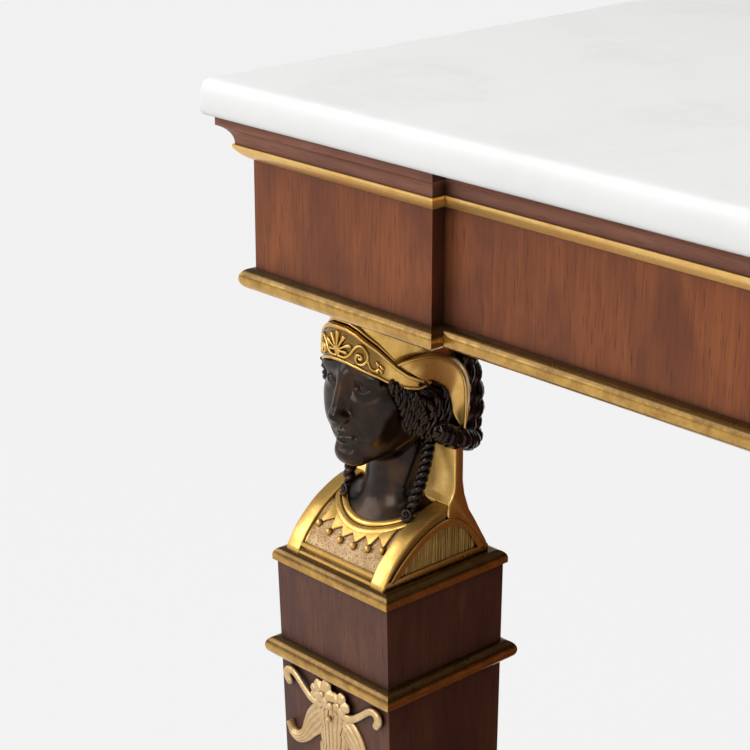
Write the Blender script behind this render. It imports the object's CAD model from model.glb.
import math

import bmesh
import bpy
import numpy as np
from mathutils import Matrix, Vector


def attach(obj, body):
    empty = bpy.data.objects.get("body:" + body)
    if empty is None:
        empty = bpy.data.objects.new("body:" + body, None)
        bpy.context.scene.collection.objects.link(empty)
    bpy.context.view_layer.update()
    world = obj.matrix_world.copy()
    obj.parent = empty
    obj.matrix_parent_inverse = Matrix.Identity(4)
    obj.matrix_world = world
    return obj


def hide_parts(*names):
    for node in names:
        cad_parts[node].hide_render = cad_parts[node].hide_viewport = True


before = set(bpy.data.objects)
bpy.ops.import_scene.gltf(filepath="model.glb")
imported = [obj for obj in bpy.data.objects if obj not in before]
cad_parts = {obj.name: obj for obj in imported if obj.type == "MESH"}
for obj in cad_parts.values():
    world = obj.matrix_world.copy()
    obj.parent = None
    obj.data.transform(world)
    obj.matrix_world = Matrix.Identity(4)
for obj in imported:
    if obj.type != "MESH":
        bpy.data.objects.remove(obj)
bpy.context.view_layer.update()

MM = 0.001

# Studio: a pale floor that runs out of sight, broad soft lamps at the front, the front left and overhead, and little
# light from the right, so that the legs' inner sides fall dark as in the photograph. The camera stands in front
# of the table, a little above its top, and looks down at the left front leg.
FLOOR_HALF = 14.0
FLOOR_COLOUR = "f4f4f4"
FLOOR_LIT = "d0d0d0"         # the floor as it throws light back on the table
FLOOR_SHOWN = 0.97           # share of the floor's own paleness that the camera sees, the rest is lit
SKY_STRENGTH = 0.13
WALL_SHOWN = 0.92            # the pale wall round the floor, as seen and mirrored
CEILING_SHOWN = 0.32         # the darker room over it
WALL_TOP = 0.08              # the wall fades into the room from this rise of the view
CEILING_FOOT = 0.45          # up to this one
LAMPS = {                    # place, aimed at, size in metres, watts
    "left": ((-2.77, -2.18, 2.35), (-0.5, -0.2, 0.7), 1.8, 35.0),
    "front": ((-0.35, -3.75, 2.4), (-0.5, -0.2, 0.7), 2.0, 57.0),
    "right": ((0.55, -3.3, 2.0), (-0.5, -0.2, 0.7), 1.3, 5.0),
    "overhead": ((-0.4, -0.3, 3.4), (-0.3, 0.0, 0.8), 2.6, 42.0),
}
CAMERA_PLACE = (0.2561, -0.9923, 1.1210)
CAMERA_AZIMUTH = 47.066
CAMERA_ELEVATION = 19.881
CAMERA_LENS = 101.55
CAMERA_SENSOR = 36.0


def linear(hex_colour):
    """sRGB hex as linear red, green, blue and an alpha of 1."""
    parts = [int(hex_colour[i:i + 2], 16) / 255 for i in (0, 2, 4)]
    return tuple(c / 12.92 if c <= 0.04045 else ((c + 0.055) / 1.055) ** 2.4 for c in parts) + (1.0,)


def add(tree, kind, inputs=None, **settings):
    """Adds one node with its settings; an input is a value, an output, or a node for its first output in use."""
    node = tree.nodes.new("ShaderNode" + kind)
    for name, value in settings.items():
        setattr(node, name, value)
    for key, value in (inputs or {}).items():
        if isinstance(value, bpy.types.Node):
            value = next(output for output in value.outputs if output.enabled)
        if isinstance(value, bpy.types.NodeSocket):
            tree.links.new(value, node.inputs[key])
        else:
            node.inputs[key].default_value = value
    return node


def new_material(name):
    """An empty material and its node tree."""
    made = bpy.data.materials.new(name)
    made.use_nodes = True
    made.node_tree.nodes.clear()
    return made, made.node_tree


def seen_directly(tree):
    """1 for rays from the camera, a mirror or glass, and 0 for rays that only light the object."""
    ray = add(tree, "LightPath").outputs
    mirror = add(tree, "Math", {0: ray["Is Camera Ray"], 1: ray["Is Glossy Ray"]}, operation="MAXIMUM")
    return add(tree, "Math", {0: mirror, 1: ray["Is Transmission Ray"]}, operation="MAXIMUM")


bpy.context.scene.view_settings.view_transform = "Standard"
world = bpy.data.worlds.new("studio")
bpy.context.scene.world = world
world.use_nodes = True
tree = world.node_tree
tree.nodes.clear()
seen = seen_directly(tree)
way = add(tree, "TexCoord")
view_rise = add(tree, "SeparateXYZ", {"Vector": way.outputs["Generated"]})
room = add(tree, "MapRange", {"Value": view_rise.outputs["Z"], "From Min": WALL_TOP, "From Max": CEILING_FOOT,
                              "To Min": WALL_SHOWN, "To Max": CEILING_SHOWN})
level = add(tree, "MapRange", {"Value": seen, "To Min": SKY_STRENGTH, "To Max": room})
sky = add(tree, "Background", {"Color": linear(FLOOR_COLOUR), "Strength": level})
add(tree, "OutputWorld", {"Surface": sky})

# Matt paint rolled on evenly: pale to the eye with no gloss, and greyer in the light that it throws back.
floor_paint, tree = new_material("rolled_matt_paint")
lit = add(tree, "BsdfDiffuse", {"Color": linear(FLOOR_LIT)})
shown = add(tree, "Emission", {"Color": linear(FLOOR_COLOUR), "Strength": 1.0})
seen = seen_directly(tree)
share = add(tree, "Math", {0: seen, 1: FLOOR_SHOWN}, operation="MULTIPLY")
both = add(tree, "MixShader", {0: share, 1: lit, 2: shown})
add(tree, "OutputMaterial", {"Surface": both})


def new_object(name, mesh_builder, *materials):
    """An object at the origin from a finished bmesh."""
    mesh = bpy.data.meshes.new(name)
    mesh_builder.to_mesh(mesh)
    mesh_builder.free()
    for finish in materials:
        mesh.materials.append(finish)
    made = bpy.data.objects.new(name, mesh)
    bpy.context.scene.collection.objects.link(made)
    return made


floor = bmesh.new()
bmesh.ops.create_grid(floor, x_segments=1, y_segments=1, size=FLOOR_HALF)
new_object("floor", floor, floor_paint)

for name, (place, aim, size, watts) in LAMPS.items():
    lamp = bpy.data.lights.new(name, "AREA")
    lamp.size = size
    lamp.energy = watts
    lamp_object = bpy.data.objects.new(name, lamp)
    lamp_object.location = place
    lamp_object.rotation_euler = (Vector(aim) - Vector(place)).to_track_quat("-Z", "Y").to_euler()
    bpy.context.scene.collection.objects.link(lamp_object)

camera = bpy.data.objects.new("camera", bpy.data.cameras.new("camera"))
camera.data.lens = CAMERA_LENS
camera.data.sensor_width = CAMERA_SENSOR
camera.location = CAMERA_PLACE
camera.rotation_euler = (math.radians(90 - CAMERA_ELEVATION), 0, math.radians(CAMERA_AZIMUTH))
bpy.context.scene.collection.objects.link(camera)
bpy.context.scene.camera = camera

# Woodwork: the legs, frieze, pilasters and back are veneered in mahogany with the grain upright, and the cornice and
# the plinth are solid lengths with the grain along them. All of it is glued up, scraped and French polished.
GRAIN_WIDTH = 2.6 * MM
GRAIN_STRETCH = 0.035        # a streak is this much finer across than along
FIGURE_WIDTH = 24 * MM
FIGURE_STRETCH = 0.4
PORE_WIDTH = 0.55 * MM
PORE_DEPTH = 0.2 * MM
CORNER_REACH = 30 * MM       # old polish and dust darken inner corners this far
CORNER_DARK = "1a0a05"


def mahogany(name, along, dark, middle, light):
    """French polished mahogany with its grain along one axis: 0, 1 or 2. The polish leaves the pores just open, so
    the eye gets fine dark strokes in warm streaks and a soft gloss, duller where the figure turns."""
    made, tree = new_material(name)
    place = add(tree, "TexCoord").outputs["Object"]
    stretch = [1.0, 1.0, 1.0]
    stretch[along] = GRAIN_STRETCH
    grain_place = add(tree, "Mapping", {"Vector": place, "Scale": stretch})
    stretch[along] = FIGURE_STRETCH
    figure_place = add(tree, "Mapping", {"Vector": place, "Scale": stretch})
    grain = add(tree, "TexNoise", {"Vector": grain_place, "Scale": 1 / GRAIN_WIDTH, "Detail": 4.0, "Roughness": 0.62})
    figure = add(tree, "TexNoise", {"Vector": figure_place, "Scale": 1 / FIGURE_WIDTH, "Detail": 2.0,
                                    "Distortion": 0.6})
    pores = add(tree, "TexNoise", {"Vector": grain_place, "Scale": 1 / PORE_WIDTH, "Detail": 1.0})
    open_pore = add(tree, "MapRange", {"Value": pores, "From Min": 0.6, "From Max": 0.72})
    streak = add(tree, "MapRange", {"Value": grain, "From Min": 0.3, "From Max": 0.7})
    broad = add(tree, "MapRange", {"Value": figure, "From Min": 0.3, "From Max": 0.66, "To Min": 0.3})
    body = add(tree, "Mix", {0: streak, 6: linear(middle), 7: linear(light)}, data_type="RGBA")
    toned = add(tree, "Mix", {0: broad, 6: linear(dark), 7: body}, data_type="RGBA")
    pored = add(tree, "Mix", {0: open_pore, 6: toned, 7: linear(dark)}, data_type="RGBA")
    corner = add(tree, "AmbientOcclusion", {"Distance": CORNER_REACH}, samples=8)
    dusty = add(tree, "MapRange", {"Value": corner.outputs["AO"], "From Min": 0.4, "From Max": 0.95, "To Min": 0.9,
                                   "To Max": 0.0})
    aged = add(tree, "Mix", {0: dusty, 6: pored, 7: linear(CORNER_DARK)}, data_type="RGBA")
    relief = add(tree, "Bump", {"Strength": 0.12, "Distance": PORE_DEPTH, "Height": grain})
    sheen = add(tree, "MapRange", {"Value": figure, "To Min": 0.42, "To Max": 0.56})
    wood = add(tree, "BsdfPrincipled", {"Base Color": aged, "Roughness": sheen, "Normal": relief, "IOR": 1.5,
                                        "Specular IOR Level": 0.35, "Coat Weight": 0.06, "Coat Roughness": 0.2})
    add(tree, "OutputMaterial", {"Surface": wood})
    return made


def give(finish, *starts):
    """Puts a finish on the CAD nodes whose names start with these words."""
    for name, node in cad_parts.items():
        if name.startswith(starts):
            node.data.materials.clear()
            node.data.materials.append(finish)


frieze_mahogany = mahogany("polished_mahogany_frieze", 2, "5c2910", "824420", "9a562b")
leg_mahogany = mahogany("polished_mahogany_legs", 2, "3f2018", "5c3627", "744733")
front_mahogany = mahogany("polished_mahogany_fronts", 0, "6e3d2c", "9a5e47", "b87a5e")
side_mahogany = mahogany("polished_mahogany_sides", 1, "6e3d2c", "9a5e47", "b87a5e")
give(frieze_mahogany, "front_rail", "side_rail", "frieze_break", "back_panel")
give(leg_mahogany, "leg_shaft", "rear_pilaster")
give(front_mahogany, "cornice_front", "plinth_board", "plinth_front_rail", "plinth_block", "back_rail",
     "plinth_back_rail")
give(side_mahogany, "cornice_left", "cornice_right", "plinth_side_rail")

# Carcase: oak blocks and bearer, planed and left bare inside the apron, and iron rods with their nuts. The corner
# blocks show at the ends of the apron and are veneered there like the frieze.
OAK_RAY = 1.4 * MM
OAK_STRETCH = (1.0, 0.05, 1.0)
FORGE_SCALE = 2 * MM
OUTER_FACE = 0.9             # a face of the corner block that looks outwards this much is veneered


def oak():
    """Planed oak, never polished: pale brown, with fine rays along the board and hardly any gloss."""
    made, tree = new_material("planed_oak")
    place = add(tree, "TexCoord").outputs["Object"]
    along = add(tree, "Mapping", {"Vector": place, "Scale": OAK_STRETCH})
    rays = add(tree, "TexNoise", {"Vector": along, "Scale": 1 / OAK_RAY, "Detail": 3.0})
    body = add(tree, "Mix", {0: rays, 6: linear("8a6a45"), 7: linear("b9986a")}, data_type="RGBA")
    wood = add(tree, "BsdfPrincipled", {"Base Color": body, "Roughness": 0.7})
    add(tree, "OutputMaterial", {"Surface": wood})
    return made


def iron():
    """Forged iron: grey metal, dull and darker in patches where the scale of the forge is left."""
    made, tree = new_material("forged_iron")
    place = add(tree, "TexCoord").outputs["Object"]
    scale = add(tree, "TexNoise", {"Vector": place, "Scale": 1 / FORGE_SCALE, "Detail": 4.0})
    body = add(tree, "Mix", {0: scale, 6: linear("3b3a39"), 7: linear("6a6661")}, data_type="RGBA")
    metal = add(tree, "BsdfPrincipled", {"Base Color": body, "Metallic": 1.0, "Roughness": 0.5})
    add(tree, "OutputMaterial", {"Surface": metal})
    return made


give(oak(), "corner_block", "top_bearer", "glue_blocks")
for side, outward in (("left", -1), ("right", 1)):
    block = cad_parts["corner_block_" + side].data
    block.materials.append(frieze_mahogany)
    for face in block.polygons:
        face.material_index = int(face.normal.x * outward > OUTER_FACE)
give(iron(), "leg_rod", "rod_nuts")

# Marble top: one slab of white marble, sawn and honed, with faint grey veins and a few old beige stains. It lies
# loose on the apron, and its arrises are worn round and a little uneven.
SLAB_HALF_WIDTH = 650.5
SLAB_FRONT = -284.0
SLAB_BACK = 280.0
SLAB_CORNER = 6.0
LEAST_CORNER = 0.3
SLAB_CORNERS = (             # side, end, and the steps from it to the next corner
    (1, SLAB_FRONT, 80), (1, SLAB_BACK, 186), (-1, SLAB_BACK, 80), (-1, SLAB_FRONT, 186))
SLAB_SECTION = (             # inset and height, millimetres
    (3.0, 860.0), (1.0, 860.3), (0.25, 861.4), (0.0, 864.0), (0.0, 871.5), (0.25, 874.6), (0.9, 876.9),
    (2.2, 878.7), (4.4, 879.7), (8.0, 880.0), (14.0, 880.0))
ARRIS_WEAR = 0.9
UPPER_WEAR = 1.6             # the upper arris is worn this many times as much
LOWER_WEAR = 0.6
SLAB_WAIST = 873.0           # height that parts the two
FLAT_INSET = 8.0             # from here inwards the top is flat and not worn
WEAR_SEED = 3
VEIN_SPACING = 190 * MM
VEIN_FOLDS = 3.2             # times that a vein folds within the spacing
STAIN_SIZE = 60 * MM
MERGE_REACH = 0.001          # points of a skin that lie closer than this, in millimetres, are one


def white_marble():
    """White marble, sawn, rubbed down with grit and honed: a soft even sheen with no mirror in it, faint grey veins
    and the beige clouds of old stains."""
    made, tree = new_material("honed_white_marble")
    place = add(tree, "TexCoord").outputs["Object"]
    warp = add(tree, "TexNoise", {"Vector": place, "Scale": 1 / VEIN_SPACING, "Detail": 5.0, "Roughness": 0.6})
    veins = add(tree, "TexNoise", {"Vector": warp.outputs["Color"], "Scale": VEIN_FOLDS, "Detail": 6.0})
    ridge = add(tree, "Math", {0: veins, 1: 0.5}, operation="SUBTRACT")
    depth = add(tree, "Math", {0: ridge}, operation="ABSOLUTE")
    line = add(tree, "MapRange", {"Value": depth, "From Min": 0.0, "From Max": 0.14, "To Min": 0.3, "To Max": 0.0})
    cloud = add(tree, "TexNoise", {"Vector": place, "Scale": 1 / STAIN_SIZE, "Detail": 5.0})
    stain = add(tree, "MapRange", {"Value": cloud, "From Min": 0.6, "From Max": 0.85, "To Max": 0.35})
    veined = add(tree, "Mix", {0: line, 6: linear("fcfcfa"), 7: linear("ececeb")}, data_type="RGBA")
    stained = add(tree, "Mix", {0: stain, 6: veined, 7: linear("e2d8c8")}, data_type="RGBA")
    rubbed = add(tree, "MapRange", {"Value": cloud, "To Min": 0.5, "To Max": 0.65})
    stone = add(tree, "BsdfPrincipled", {"Base Color": stained, "Roughness": rubbed, "IOR": 1.49})
    add(tree, "OutputMaterial", {"Surface": stone})
    return made


def skin(points, wax=None):
    """Closed skin over rows of points: a grid laid on them, meeting edges merged, open ends filled.
    Wax is the share of old wax at each point, kept with the mesh."""
    rows, columns = points.shape[:2]
    made = bmesh.new()
    bmesh.ops.create_grid(made, x_segments=columns - 1, y_segments=rows - 1, size=1)
    for vertex, at in zip(made.verts, points.reshape(-1, 3)):
        vertex.co = at
    if wax is not None:
        layer = made.verts.layers.float.new("wax")
        for vertex, amount in zip(made.verts, wax.ravel()):
            vertex[layer] = amount
    bmesh.ops.remove_doubles(made, verts=made.verts, dist=MERGE_REACH)
    made.edges.ensure_lookup_table()
    bmesh.ops.edgeloop_fill(made, edges=[e for e in made.edges if e.is_boundary])
    bmesh.ops.recalc_face_normals(made, faces=made.faces)
    return made


def fit(piece, node, sharp=None):
    """Shades a piece smooth and lets it ride on the table in a CAD node's place."""
    piece.data.shade_smooth()
    if sharp:
        piece.data.set_sharp_from_angle(angle=math.radians(sharp))
    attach(piece, "root")
    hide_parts(node)


def slab_ring(inset):
    """Points round the slab at an inset and the way out from each, with small round corners."""
    radius = max(SLAB_CORNER - inset, LEAST_CORNER)
    corners = []
    for k, (sx, end, _) in enumerate(SLAB_CORNERS):
        middle = np.array([sx * (SLAB_HALF_WIDTH - inset - radius), end - math.copysign(inset + radius, end)])
        turn = np.radians(np.linspace(-90, 0, 8) + 90 * k)
        ways = np.column_stack([np.cos(turn), np.sin(turn)])
        corners.append((middle + radius * ways, ways))
    around, outward = [], []
    for k, (points, ways) in enumerate(corners):
        share = np.linspace(0, 1, SLAB_CORNERS[k][2] + 1)[1:-1, None]
        around += [points, points[-1] + (corners[k - 3][0][0] - points[-1]) * share]
        outward += [ways, np.repeat(ways[-1:], len(share), axis=0)]
    return np.concatenate(around + [around[0][:1]]), np.concatenate(outward + [outward[0][:1]])


wear = np.random.default_rng(WEAR_SEED).random(len(slab_ring(0.0)[0]) - 1)
for _ in range(3):
    wear = (np.roll(wear, 1) + wear + np.roll(wear, -1)) / 3
wear = np.append(wear, wear[0]) * ARRIS_WEAR
slab_rows = []
for inset, height in SLAB_SECTION:
    worn = wear * (UPPER_WEAR if height > SLAB_WAIST else LOWER_WEAR) * (inset < FLAT_INSET)
    around, outward = slab_ring(inset)
    slab_rows.append(np.column_stack([around - outward * worn[:, None], np.full(len(around), height)]))
slab = skin(np.array(slab_rows))
bmesh.ops.scale(slab, verts=slab.verts, vec=(MM, MM, MM))
fit(new_object("marble_slab", slab, white_marble()), "marble_top")

# Gilt mouldings: cast brass lengths, mercury gilt and burnished, toned brown with age, rubbed bright on their
# rounds and dark with old wax along the wood. They are pinned to the frieze, the legs, the pilasters and the plinth.
TONE_SIZE = 9 * MM
SPECK_SIZE = 1.1 * MM
DENT_DEPTH = 0.5 * MM
OVOLO_LIFT = 1.2 * MM        # the ovolo is set a little higher than its bed, close under the cornice
OVOLO_MERGE = 0.01 * MM      # points of the ovolo that lie closer than this are one


def gilding(name, bright, toned, brown, smooth, rough, hollow, stipple=0.0, lying=0.0, metallic=0.88):
    """Mercury gilt brass, old: two tones of gold and brown specks, with a gloss from smooth to rough. Brown wax is
    left in hollows up to a size in millimetres, lies on the upper sides, and is where the piece's own mesh says."""
    made, tree = new_material(name)
    place = add(tree, "TexCoord").outputs["Object"]
    tone = add(tree, "TexNoise", {"Vector": place, "Scale": 1 / TONE_SIZE, "Detail": 5.0, "Roughness": 0.65})
    specks = add(tree, "TexNoise", {"Vector": place, "Scale": 1 / SPECK_SIZE, "Detail": 2.0})
    worn = add(tree, "MapRange", {"Value": tone, "From Min": 0.36, "From Max": 0.66})
    spot = add(tree, "MapRange", {"Value": specks, "From Min": 0.68 - 0.16 * stipple,
                                  "From Max": 0.78 - 0.12 * stipple, "To Max": 0.4 + 0.3 * stipple})
    body = add(tree, "Mix", {0: worn, 6: linear(bright), 7: linear(toned)}, data_type="RGBA")
    spotted = add(tree, "Mix", {0: spot, 6: body, 7: linear(brown)}, data_type="RGBA")
    open_sky = add(tree, "AmbientOcclusion", {"Distance": hollow * MM}, samples=8)
    mottled = add(tree, "Math", {0: specks, 1: -0.2, 2: open_sky.outputs["AO"]}, operation="MULTIPLY_ADD")
    in_hollows = add(tree, "MapRange", {"Value": mottled, "From Min": 0.3, "From Max": 0.75, "To Min": 0.95,
                                        "To Max": 0.0})
    kept = add(tree, "Attribute", attribute_name="wax")
    wax = add(tree, "Math", {0: in_hollows, 1: kept.outputs["Fac"]}, operation="MAXIMUM")
    if lying:
        faces = add(tree, "NewGeometry")
        slope = add(tree, "SeparateXYZ", {"Vector": faces.outputs["Normal"]})
        uneven = add(tree, "Math", {0: tone, 1: 0.3, 2: slope.outputs["Z"]}, operation="MULTIPLY_ADD")
        on_top = add(tree, "MapRange", {"Value": uneven, "From Min": 0.26, "From Max": 0.62, "To Max": lying})
        wax = add(tree, "Math", {0: wax, 1: on_top}, operation="MAXIMUM")
    waxed = add(tree, "Mix", {0: wax, 6: spotted, 7: linear(brown)}, data_type="RGBA")
    gloss = add(tree, "MapRange", {"Value": tone, "From Min": 0.3, "From Max": 0.7, "To Min": smooth,
                                   "To Max": rough})
    height = add(tree, "Mix", {0: stipple, 2: tone, 3: specks}, data_type="FLOAT")
    dents = add(tree, "Bump", {"Strength": 0.1 + 0.8 * stipple, "Distance": DENT_DEPTH, "Height": height})
    gilt = add(tree, "BsdfPrincipled", {"Base Color": waxed, "Metallic": metallic, "Roughness": gloss,
                                        "Normal": dents, "Coat Weight": 0.2, "Coat Roughness": 0.22})
    add(tree, "OutputMaterial", {"Surface": gilt})
    return made


# Toned brown with age: deep gold on the rounds, and nearly brown along the top, where wax and dust lie.
toned_gilding = gilding("toned_gilt_brass", "d8aa58", "b0843f", "33200d", 0.2, 0.3, 12.0, lying=0.8)
give(toned_gilding, "gilt_torus", "leg_cap_moulding", "leg_band", "leg_foot_moulding", "pilaster_mouldings",
     "plinth_band")
# Brushed bright and hardly toned: clear yellow with broad soft lights.
bright_gilding = gilding("bright_gilt_brass", "ffd27a", "f2ba5e", "4a3016", 0.26, 0.38, 2.5, metallic=0.6)
for name in ("gilt_ovolo_left", "gilt_ovolo_front", "gilt_ovolo_right"):
    ovolo = bmesh.new()
    ovolo.from_mesh(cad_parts[name].data)
    bmesh.ops.remove_doubles(ovolo, verts=ovolo.verts, dist=OVOLO_MERGE)
    bmesh.ops.translate(ovolo, verts=ovolo.verts, vec=(0, 0, OVOLO_LIFT))
    fit(new_object(name + "_length", ovolo, bright_gilding), name, sharp=30)

# Bronze head: one casting from the brow to the foot of the neck, chased smooth, and held by the iron rod through it.
# The face is a plain classical one on the usual proportions: eyes half way down the head, nose and mouth on the
# thirds. Sizes are millimetres in the bust's own frame: the leg's axis, the apron's underside, front towards -Y.
RUB_SIZE = 14 * MM
PATINA_GROOVE = 3.5 * MM     # grooves up to this width stay black
LEG_X = 576.0
LEG_Y = -206.0
APRON_FOOT = 758.0
FACE_MIDDLE = np.array([0.0, -6.0, -62.0])
NECK_RUN = np.array([0.0, 6.0, -46.0])
CHEST_MIDDLE = np.array([0.0, 6.0, -160.0])
CRANIUM = ((0, 2, -42), (30.5, 38, 42))
EYE = np.array([12.0, -26.8, -48.4])
EYE_TILT = 0.08              # rise of the lids' line towards the temple
EYEBALL_RADIUS = 7.35
EYEBALL_EDGE = 0.2           # softness of the joint between ball and lids
LID_RADIUS = 8.2
LID_EDGE = 0.5               # softness of the lids' opening
LID_ROOT = 2.8               # and of their joint with the socket
UPPER_LID = (5.36, 8.66)     # drop and radius of the arc that opens the lid
LOWER_LID = (-9.4, 11.6)
CLAY = (                     # on or off, softness, then a lump's middle and radii or a strip's ends and radii
    (1, 8, (0, -11, -62), (25.8, 26.5, 36)),                           # mask of the face
    (1, 9, (16.5, -4, -77), (4.5, -28.5, -90), 6.6, 6.4),              # jaw
    (1, 6, (0, -31.0, -90.0), (9.0, 7.6, 7.0)),                        # chin
    (1, 8, (18, -20.5, -57.5), (9.5, 10.5, 9.0)),                      # cheekbone
    (1, 7, (12.5, -26.0, -68), (10, 9, 13)),                           # cheek
    (1, 6, (12, -30.6, -40.6), (12.0, 4.6, 3.2)),                      # brow
    (-1, 4.5, (12.4, -41.4, -48.4), (9.6, 8.6, 6.0)),                  # eye socket
    (1, 4.0, (0, -35.4, -41), (0, -41.6, -63.5), 3.2, 4.0),            # bridge of the nose
    (1, 2.5, (0, -42.3, -64.8), (4.2, 4.6, 3.8)),                      # tip
    (1, 2.2, (4.3, -38.4, -66.2), (2.5, 4.2, 2.8)),                    # nostril
    (-1, 1.0, (2.3, -40.4, -69.2), (1.2, 2.4, 1.2)),
    (1, 5, (0, -33.3, -76), (11, 6.0, 7.5)),                           # lips
    (1, 1.3, (0, -39.1, -74.5), (8.5, -35.0, -76.7), 2.2, 0.7),
    (1, 1.3, (0, -38.3, -79.6), (8.3, -34.8, -77.3), 2.7, 0.7),
    (-1, 0.7, (0, -41.5, -77.0), (9.2, -36.4, -77.1), 0.55, 0.4),
    (-1, 1.8, (9.6, -36.6, -77.3), (1.0, 1.2, 1.2)),
    (-1, 1.5, (0, -41.4, -69.6), (0, -41.6, -72.6), 0.9, 1.0),
    (-1, 3.2, (0, -40.6, -85.0), (4.5, -39.2, -84.6), 2.2, 1.8),       # hollow over the chin
)
NECK_HALF = 36.0             # the chest ends inside the base's shoulders
NECK_BACK = 16.5             # and inside the slab behind the neck, below the nape
NAPE = -90.0
NECK_FALL = math.radians(-20)
HEAD_REACH = 75.0            # rays start this far outside the face's middle
CHEST_REACH = 55.0           # and this far from the chest's
CLOSING_STEP = 0.75          # share of the distance that a ray goes in one step
CLOSE_ENOUGH = 0.01
NECK = (
    (1, 7, (0, 4, -125), (18.0, 16.0, 62)),
    (1, 9, (0, 7, -150), (42.0, 33.5, 30)),                            # swell of the chest
    (1, 8, (0, 6, -149), (28, 7, -149), 24.5, 24.5),                   # shoulders
    (1, 6, (17, 7, -90), (5, -11.5, -146), 4.2, 3.6),
    (1, 3, (27.0, 1, -62), (6.5, 16, 19)),                             # hair's ground over the ears
)


def dark_bronze(name, patina, rubbed_brown, groove, rough):
    """Cast bronze with a dark brown patina under wax: nearly black to the eye, browner where hands have rubbed it,
    black in its grooves, and glossy enough to show the lamps on its rounds."""
    made, tree = new_material(name)
    place = add(tree, "TexCoord").outputs["Object"]
    rub = add(tree, "TexNoise", {"Vector": place, "Scale": 1 / RUB_SIZE, "Detail": 5.0})
    rubbed = add(tree, "MapRange", {"Value": rub, "From Min": 0.45, "From Max": 0.75})
    body = add(tree, "Mix", {0: rubbed, 6: linear(patina), 7: linear(rubbed_brown)}, data_type="RGBA")
    open_sky = add(tree, "AmbientOcclusion", {"Distance": PATINA_GROOVE}, samples=8)
    in_grooves = add(tree, "MapRange", {"Value": open_sky.outputs["AO"], "From Min": 0.35, "From Max": 0.8,
                                        "To Min": 1.0, "To Max": 0.0})
    waxed = add(tree, "Mix", {0: in_grooves, 6: body, 7: linear(groove)}, data_type="RGBA")
    metal = add(tree, "BsdfPrincipled", {"Base Color": waxed, "Metallic": 0.7, "Roughness": rough,
                                         "Coat Weight": 0.18, "Coat Roughness": 0.14})
    add(tree, "OutputMaterial", {"Surface": metal})
    return made


def lump(p, middle, radii):
    """Distance from points to an ellipsoid."""
    q = (p - middle) / radii
    size = np.linalg.norm(q, axis=1)
    return size * (size - 1) / np.maximum(np.linalg.norm(q / radii, axis=1), 1e-6)


def strip(p, start, end, radius, end_radius):
    """Distance from points to a round bar that tapers from one end to the other."""
    start, run = np.array(start, float), np.subtract(end, start).astype(float)
    along = np.clip((p - start) @ run / (run @ run), 0, 1)
    return np.linalg.norm(p - start - along[:, None] * run, axis=1) - radius - (end_radius - radius) * along


def merge(a, b, soft):
    """Smooth union of two distances."""
    share = np.clip(0.5 + 0.5 * (b - a) / soft, 0, 1)
    return b * (1 - share) + a * share - soft * share * (1 - share)


def work(d, p, clay):
    """Puts each lump or strip on the form, or takes it off."""
    for sign, soft, *form in clay:
        piece = (lump if len(form) == 2 else strip)(p, *form)
        d = merge(d, piece, soft) if sign > 0 else -merge(-d, piece, soft)
    return d


def head_form(points):
    """Distance from points to the head with its neck and chest."""
    p = np.abs(points * (1, 0, 0)) + points * (0, 1, 1)
    d = work(lump(p, *CRANIUM), p, CLAY)
    from_eye = np.linalg.norm(p - EYE, axis=1)
    x, z = p[:, 0] - EYE[0], p[:, 2] - EYE[2] - EYE_TILT * (p[:, 0] - EYE[0])
    opening = np.maximum(*[np.hypot(x, z + drop) - radius for drop, radius in (UPPER_LID, LOWER_LID)])
    d = merge(d, -merge(LID_RADIUS - from_eye, opening, LID_EDGE), LID_ROOT)
    d = merge(d, from_eye - EYEBALL_RADIUS, EYEBALL_EDGE)
    return np.maximum(work(d, p, NECK), p[:, 0] - NECK_HALF)


def cast_on(form, origins, rays, reach, steps=70):
    """Where rays from inside a form leave it, found by closing in from outside."""
    t = np.full(len(origins), reach)
    live = np.arange(len(origins))
    for _ in range(steps):
        d = form(origins[live] + rays[live] * t[live, None])
        t[live] -= CLOSING_STEP * d
        live = live[np.abs(d) > CLOSE_ENOUGH]
        if not len(live):
            break
    return origins + rays * t[:, None]


def graded(knots, counts):
    """Values from knot to knot, with a count of steps for each stretch."""
    parts = [np.linspace(a, b, n, endpoint=False) for a, b, n in zip(knots, knots[1:], counts)]
    return np.concatenate(parts + [knots[-1:]])


def pair(name, shape, finishes, node, sharp=None):
    """Left and right pieces from one shape in the bust's frame, standing for the CAD nodes of both sides."""
    for side, x in (("left", -LEG_X), ("right", LEG_X)):
        one = shape.copy()
        place = Matrix.Scale(MM, 4) @ Matrix.Translation((x, LEG_Y, APRON_FOOT))
        bmesh.ops.transform(one, matrix=place, verts=one.verts)
        fit(new_object(f"{name}_{side}", one, *finishes), f"{node}_{side}", sharp)
    shape.free()


turns = np.radians(graded([-180, -80, 80, 180], (30, 260, 30)))      # rays stand closest over the face
falls = np.radians(graded([90, 28, -48], (20, 165)))
slides = np.linspace(0, 1, 45)[1:]                                  # they slide down the neck
rises = np.radians(np.linspace(66, 6, 44))                          # and leave the chest through its top
row_falls = np.concatenate([falls, np.interp(slides, (0.25, 1), (falls[-1], NECK_FALL)), rises])
row_starts = np.concatenate([np.tile(FACE_MIDDLE, (len(falls), 1)), FACE_MIDDLE + slides[:, None] * NECK_RUN,
                             np.tile(CHEST_MIDDLE, (len(rises), 1))])
row_reach = np.repeat((HEAD_REACH, CHEST_REACH), (len(falls) + len(slides), len(rises)))
fall, turn = np.meshgrid(row_falls, turns, indexing="ij")
rays = np.stack([np.sin(turn) * np.cos(fall), -np.cos(turn) * np.cos(fall), np.sin(fall)], axis=-1)
origins = np.repeat(row_starts, len(turns), axis=0)
placed = cast_on(head_form, origins, rays.reshape(-1, 3), np.repeat(row_reach, len(turns)))
inside_slab = placed[:, 2] < NAPE
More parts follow.
